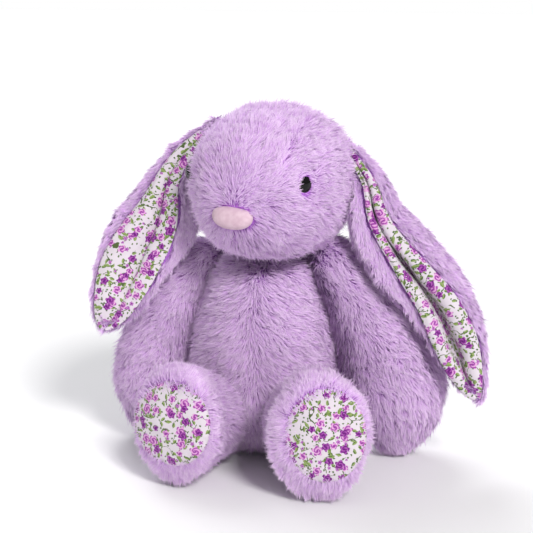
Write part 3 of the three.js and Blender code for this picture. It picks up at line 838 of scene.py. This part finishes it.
def build_floral_print():
    """The all-over print as a group: flat cloth coordinates in metres in, printed colour out. From
    the ground up: thin broken stems, leaves, buds, then pale and dark roses."""
    group = bpy.data.node_groups.new("floral_print", "ShaderNodeTree")
    group.interface.new_socket("Cloth", in_out="INPUT", socket_type="NodeSocketVector")
    group.interface.new_socket("Color", in_out="OUTPUT", socket_type="NodeSocketColor")
    start = group.nodes.new("NodeGroupInput")
    end = group.nodes.new("NodeGroupOutput")
    flat = start.outputs["Cloth"]
    hand = add_node(group, "ShaderNodeTexNoise", Vector=flat, Scale=700.0, Detail=1.0)
    wobble = vector_calc(group, "SUBTRACT", hand.outputs["Color"], (0.5, 0.5, 0.5))
    wobble = add_node(group, "ShaderNodeVectorMath", wobble, operation="SCALE", Scale=HAND)
    place = vector_calc(group, "ADD", flat, wobble.outputs[0])
    leaf_green, leaf_shade = seen(134, 154, 92), seen(88, 112, 58)
    curl = noise(group, 95.0, 1.0, place)
    broken = noise(group, 210.0, 0.0, place)
    stem = calc(group, "LESS_THAN", calc(group, "ABSOLUTE", calc(group, "SUBTRACT", curl, 0.5)), STEM)
    stem = calc(group, "MULTIPLY", stem, calc(group, "GREATER_THAN", broken, 0.47))
    cloth = over(group, seen(208, 199, 208), seen(76, 92, 50), stem)
    cloth = leaf(group, cloth, place, 0.0042, 0.0018, 0.0009, 0.55, 0.11, leaf_green, leaf_shade)
    cloth = leaf(group, cloth, place, 0.0066, 0.0023, 0.0010, 0.38, 0.23, leaf_green, seen(108, 130, 66))
    cloth = leaf(group, cloth, place, 0.0026, 0.0007, 0.0005, 0.5, 0.31, leaf_shade, seen(60, 84, 44))
    cloth = rose(
        group, cloth, place, 0.0052, 0.0010, 0.3, 0.43,
        seen(112, 30, 128), seen(174, 100, 178), seen(194, 132, 194))
    cloth = rose(
        group, cloth, place, 0.0088, 0.0026, 0.68, 0.57,
        seen(140, 54, 146), seen(186, 108, 184), seen(210, 156, 202))
    cloth = rose(
        group, cloth, place, 0.0092, 0.0023, 0.6, 0.71,
        seen(98, 20, 112), seen(126, 34, 136), seen(156, 76, 160))
    group.links.new(cloth, end.inputs["Color"])
    return group


floral_print = build_floral_print()


def printed_cotton():
    """White cotton with the floral print, in a plain weave of fine threads, with painted shade and
    light along its soft creases.
    """
    finish, tree, shader = new_finish("printed_cotton", 0.75, Sheen_Weight=0.15)
    cloth = tree.nodes.new("ShaderNodeUVMap")
    cloth.uv_map = "cloth"
    flat = cloth.outputs["UV"]
    printed = tree.nodes.new("ShaderNodeGroup")
    printed.node_tree = floral_print
    feed(tree, printed, {"Cloth": flat})
    threads = add_node(tree, "ShaderNodeSeparateXYZ", flat)
    warp = calc(tree, "SINE", calc(tree, "MULTIPLY", threads.outputs["X"], THREADS))
    weft = calc(tree, "SINE", calc(tree, "MULTIPLY", threads.outputs["Y"], THREADS))
    weave = calc(tree, "MULTIPLY", warp, weft)
    creases = noise(tree, 120.0, 3.0, flat)
    # Painted shade and light: the print darkens in the creases' hollows and lightens on their ridges.
    value = add_node(tree, "ShaderNodeMapRange", creases, 0.3, 0.7, 0.95, 1.03).outputs["Result"]
    shade = add_node(tree, "ShaderNodeHueSaturation", Value=value, Color=printed.outputs["Color"])
    feed(tree, shader, {"Base Color": shade.outputs["Color"]})
    soft = add_relief(tree, shader, creases, 0.5, 0.0012)
    add_relief(tree, soft, weave, 0.25, 0.0001)
    return finish


cotton = printed_cotton()


def cloth_mesh(name, grid, cloth):
    """A mesh over an open grid, with flat cloth coordinates in metres as its UV map."""
    rows, columns = grid.shape[:2]
    number = np.arange(rows * columns).reshape(rows, columns)
    quads = np.stack([number[:-1, :-1], number[:-1, 1:], number[1:, 1:], number[1:, :-1]], -1)
    quads = quads.reshape(-1, 4)
    mesh = bpy.data.meshes.new(name)
    mesh.from_pydata(grid.reshape(-1, 3).tolist(), [], quads.tolist())
    corners = cloth.reshape(-1, 2)[quads.ravel()]
    mesh.uv_layers.new(name="cloth").data.foreach_set("uv", corners.ravel())
    return mesh


def thick(piece, thickness):
    """Gives a sheet its thickness, inwards from the face that shows."""
    wall = piece.modifiers.new("thickness", "SOLIDIFY")
    wall.thickness = thickness
    wall.offset = -1


def sole_height(flat, half_width, half_height):
    """How far the sole stands out at a flat place: domed by the stuffing, slightly lumpy, with
    small puckers where its edge is drawn into the plush."""
    share = np.hypot(flat[..., 0] / half_width, flat[..., 1] / half_height)
    turn = np.arctan2(flat[..., 1], flat[..., 0])
    puckers = PUCKERS * share ** 6 * np.sin(23 * turn + 1.5 * np.sin(3 * turn))
    field = waves(np.dstack([flat, 0 * share]), 0.02, seed=60)[..., 0]
    lumps = LUMPS_OF_SOLE * field * (1 - share ** 2)
    return SOLE_DOME * (1 - share ** 2.4) - SOLE_TUCK * share ** 10 + puckers + lumps


# A square grid pushed into a disc, so that the cloth's grid has no pole.
u, v = np.meshgrid(np.linspace(-1, 1, 49), np.linspace(-1, 1, 49))
disc = np.stack([u * np.sqrt(1 - v ** 2 / 2), v * np.sqrt(1 - u ** 2 / 2)], -1)

for number, (side, rows) in enumerate(LEGS.items()):
    parts = [f"leg_{side}_upper", f"leg_{side}_lower"]
    sole_low, sole_high = box_of(f"leg_{side}_sole")
    turned, lean, half_width, half_height, raised = SOLES[side]
    turned = math.radians(turned)
    out = np.array(direction(turned, math.radians(lean)))
    across = np.array([math.cos(turned), math.sin(turned), 0])
    up = np.cross(out, across)
    centre = (sole_low + sole_high) / 2 + raised * up

    leg_rows = placed(box_of(*parts, f"leg_{side}_sole"), rows)
    leg = under_pile(stuffed(leg_rows, (0, 0, 1), around=96, along=90))
    ahead = (leg - centre) @ out
    from_sole = leg - centre - ahead[..., None] * out
    sole_share = np.hypot(from_sole @ across / half_width, from_sole @ up / half_height)
    rolled = COLLAR * np.tanh((ahead + COLLAR) / COLLAR) - COLLAR + FACE
    rolled = rolled - SOLE_BED * np.clip(1.1 - sole_share, 0, 1)
    leg = leg + np.where(ahead > -COLLAR, rolled - ahead, 0)[..., None] * out
    leg[..., 2] = np.maximum(leg[..., 2], SEAT)
    add_backing(f"leg_{side}_backing", leg, f"leg_{side}", 0.85, *parts, f"leg_{side}_stuffing")

    sole_flat = disc * [half_width, half_height]
    stands_out = sole_height(sole_flat, half_width, half_height) + SOLE_GAP
    sole_place = centre + sole_flat @ np.stack([across, up]) + stands_out[..., None] * out
    name = f"leg_{side}_sole_print"
    shift = sole_flat + [0.1 * number, 0.05]
    sole = add_piece(name, cloth_mesh(name, sole_place, shift), f"leg_{side}", cotton)
    thick(sole, COTTON)
    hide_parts(f"leg_{side}_sole")

    outside = np.clip((sole_share - 0.97) / 0.04, 0, 1)
    back_from_sole = (centre - leg) @ out
    behind = np.clip(back_from_sole / 0.006, 0, 1)
    rim = np.clip(1 - np.abs(back_from_sole) / RIM_REACH, 0, 1)
    share = np.maximum(outside, behind) * worn(leg) * (1 + RIM_DENSER * rim)
    top = leg[..., 2] > np.median(leg[..., 2])
    for k, (panel, region) in enumerate((("upper", top), ("lower", ~top))):
        roots = roots_on(leg, LEG_TUFTS[panel], 70 + 10 * number + k, share * region)
        from_centre = roots[0] - centre
        radial = unit(from_centre - (from_centre @ out)[:, None] * out)
        collar = np.clip(1 + (from_centre @ out) / COLLAR, 0, 1)[:, None]
        lay = collar * radial - out + [0, 0, -0.3] * (1 - collar)
        length = PILE * (0.88 - 0.18 * collar[:, 0])
        name = f"leg_{side}_{panel}_pile"
        add_pile(name, f"leg_{side}", roots, lay, length, seed=72 + 10 * number + k)

# ------------------------ ears
# Long lop ears: a plush back and a printed cotton lining, sewn round the edge and turned, with the
# plush rolled over the seam. Each is pleated along its length and caught in the head's side seam.
# Each row: shares of the ear's box, the half width as a share of its height, a spare 0 for the half
# depth, and the side that the lining faces, in degrees from the front.
EARS = {
    "left": {
        "line": [
            [-0.010, 1.000, 0.975, 0.030, 0, 16],
            [0.180, 0.843, 0.841, 0.070, 0, 20],
            [0.284, 0.690, 0.698, 0.114, 0, 22],
            [0.474, 0.575, 0.556, 0.136, 0, 24],
            [0.673, 0.498, 0.413, 0.129, 0, 22],
            [0.798, 0.421, 0.269, 0.111, 0, 19],
            [0.883, 0.402, 0.119, 0.062, 0, 16],
            [0.925, 0.402, 0.050, 0, 0, 16],
        ],
        # The pleat's section near the root and near the tip, in half widths: across and forward. The
        # first eight points are the lining's face, from edge to edge, and the rest is the plush.
        "root": [
            (-0.52, 0.05), (-0.42, 0.10), (-0.32, -0.03), (-0.22, -0.42), (-0.12, -0.42), (-0.14, 0.06),
            (0.02, 0.13), (0.18, 0.05), (0.42, 0.16), (0.80, -0.02), (1.0, -0.38), (0.6, -0.75),
            (-0.3, -0.85), (-1.20, -0.42), (-1.10, 0.06)],
        "tip": [
            (-0.96, 0.0), (-0.75, 0.08), (-0.50, -0.02), (-0.28, -0.42), (-0.05, -0.48), (0.06, -0.03),
            (0.34, 0.10), (0.66, 0.02), (0.84, 0.12), (1.02, -0.02), (1.02, -0.3), (0.7, -0.62),
            (0.0, -0.78), (-0.6, -0.55), (-1.04, -0.22)],
        "lining_starts": 10,
    },
    "right": {
        "line": [
            [1.130, 0.960, 1.020, 0.046, 0, -30],
            [0.835, 0.750, 0.880, 0.076, 0, -24],
            [0.679, 0.622, 0.743, 0.112, 0, -16],
            [0.580, 0.438, 0.558, 0.180, 0, -8],
            [0.425, 0.254, 0.373, 0.172, 0, -4],
            [0.315, 0.088, 0.188, 0.118, 0, 0],
            [0.223, 0.015, 0.050, 0, 0, 0],
        ],
        "root": [
            (-0.46, 0.05), (-0.28, 0.10), (-0.08, 0.0), (0.06, -0.26), (0.15, -0.28), (0.17, -0.02),
            (0.42, 0.06), (0.70, 0.0), (0.86, 0.08), (1.45, -0.25), (0.8, -0.6), (0.0, -0.65),
            (-0.7, -0.55), (-1.1, -0.22), (-0.90, 0.12)],
        "tip": [
            (-0.84, 0.0), (-0.5, 0.08), (-0.1, 0.03), (0.22, -0.12), (0.38, -0.18), (0.45, -0.02),
            (0.7, 0.04), (0.95, 0.0), (1.03, -0.02), (1.02, -0.15), (0.6, -0.36), (0.1, -0.42),
            (-0.5, -0.4), (-0.97, -0.22), (-1.0, -0.02)],
        "lining_starts": 20,
    },
}
LINING_POINTS = 7  # the lining runs from section point 0 to this one
STEPS = 6  # grid columns between two section points
LINING_COLUMNS = LINING_POINTS * STEPS + 1
EAR_ROWS = 110
BLEND_FROM, BLEND_OVER = 0.3, 0.55  # where the root's section turns into the tip's
EAR_PILE = 0.0064
EAR_TUFTS = 64000
EAR_FAN = 0.4  # how much the pile is brushed out to the ear's edges
LINING_PROUD = 0.0012  # how far the lining lies above the backing
LINING_LIFT, LINING_CREASE = 0.0002, 0.0006
LAST_ROW = -4  # the lining's last grid row, counted from the tip


def ear_grid(line, ear, across, forward):
    """The ear's closed surface: at each point of the middle line, a closed smooth section blended
    from the one near the root to the one near the tip, as wide as the line says."""
    count = len(ear["root"])
    turn = np.arange(count * STEPS) / (count * STEPS)
    sections = []
    for key in ("root", "tip"):
        points = np.array(ear[key])
        looped = np.vstack([points[-2:], points, points[:3]])
        sections.append(smooth_line(looped, (2 + turn * count) / (len(looped) - 1)))
    share = (1 - np.cos(np.pi * np.linspace(0, 1, len(line)))) / 2
    blend = np.clip((share - BLEND_FROM) / BLEND_OVER, 0, 1)
    blend = (blend ** 2 * (3 - 2 * blend))[:, None, None]
    section = sections[0] * (1 - blend) + sections[1] * blend
    size = line[:, 3, None, None] * section
    return line[:, None, :3] + size[..., :1] * across[:, None] + size[..., 1:] * forward[:, None]


def walked(lines):
    """The distance from the start of each line of points to each of its points."""
    steps = np.linalg.norm(np.diff(lines, axis=1), axis=-1)
    return np.concatenate([np.zeros((len(lines), 1)), np.cumsum(steps, 1)], 1)


for number, (side, ear) in enumerate(EARS.items()):
    line, along = middle_line(placed(box_of(f"ear_{side}_back"), ear["line"]), EAR_ROWS)
    facing = np.array([tuple(direction(math.radians(a), 0)) for a in line[:, 5]])
    forward = unit(facing - (facing * along).sum(-1, keepdims=True) * along)
    across = np.cross(forward, along)
    form = ear_grid(line, ear, across, forward)
    under = normals_of(form)
    depth = np.full(form.shape[1], PILE_LIES)
    depth[:LINING_COLUMNS] = LINING_PROUD
    depth = (depth + np.roll(depth, 1) + np.roll(depth, -1)) / 3
    plush = form - under * depth[:, None]

    name = f"ear_{side}_backing"
    backing = add_piece(name, closed_mesh(name, plush), None, backing_finish)
    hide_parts(f"ear_{side}_back")

    first_row = ear["lining_starts"]
    outward = under[first_row:LAST_ROW, :LINING_COLUMNS]
    face = form[first_row:LAST_ROW, :LINING_COLUMNS]
    creases = waves(face, 0.03, 90 + number)[..., :1]
    face = face + (LINING_LIFT + LINING_CREASE * creases) * outward
    reach = walked(face)
    reach = reach - reach[:, -1:] / 2
    length = walked(line[None, first_row:LAST_ROW, :3])[0]
    cloth = np.stack([reach, length[:, None] + 0 * reach], -1)
    name = f"ear_{side}_lining_print"
    shift = cloth + [0.3 + 0.2 * number, 0.3]
    lining = add_piece(name, cloth_mesh(name, face, shift), None, cotton)
    thick(lining, COTTON)
    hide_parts(f"ear_{side}_lining")

    share = np.ones(form.shape[:2])
    share[first_row:LAST_ROW, :LINING_COLUMNS] = 0
    roots = roots_on(plush, EAR_TUFTS, 94 + number, share)
    coarse = line[::6, :3]
    out_from_line = roots[0] - coarse[np.abs(roots[0][:, None, 2] - coarse[:, 2]).argmin(1)]
    lay = unit(roots[2]) + EAR_FAN * unit(out_from_line)
    pile = add_pile(f"ear_{side}_pile", None, roots, lay, EAR_PILE, lift=(46, 14), seed=96 + number)
    for piece in (backing, lining, pile):
        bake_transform(piece)
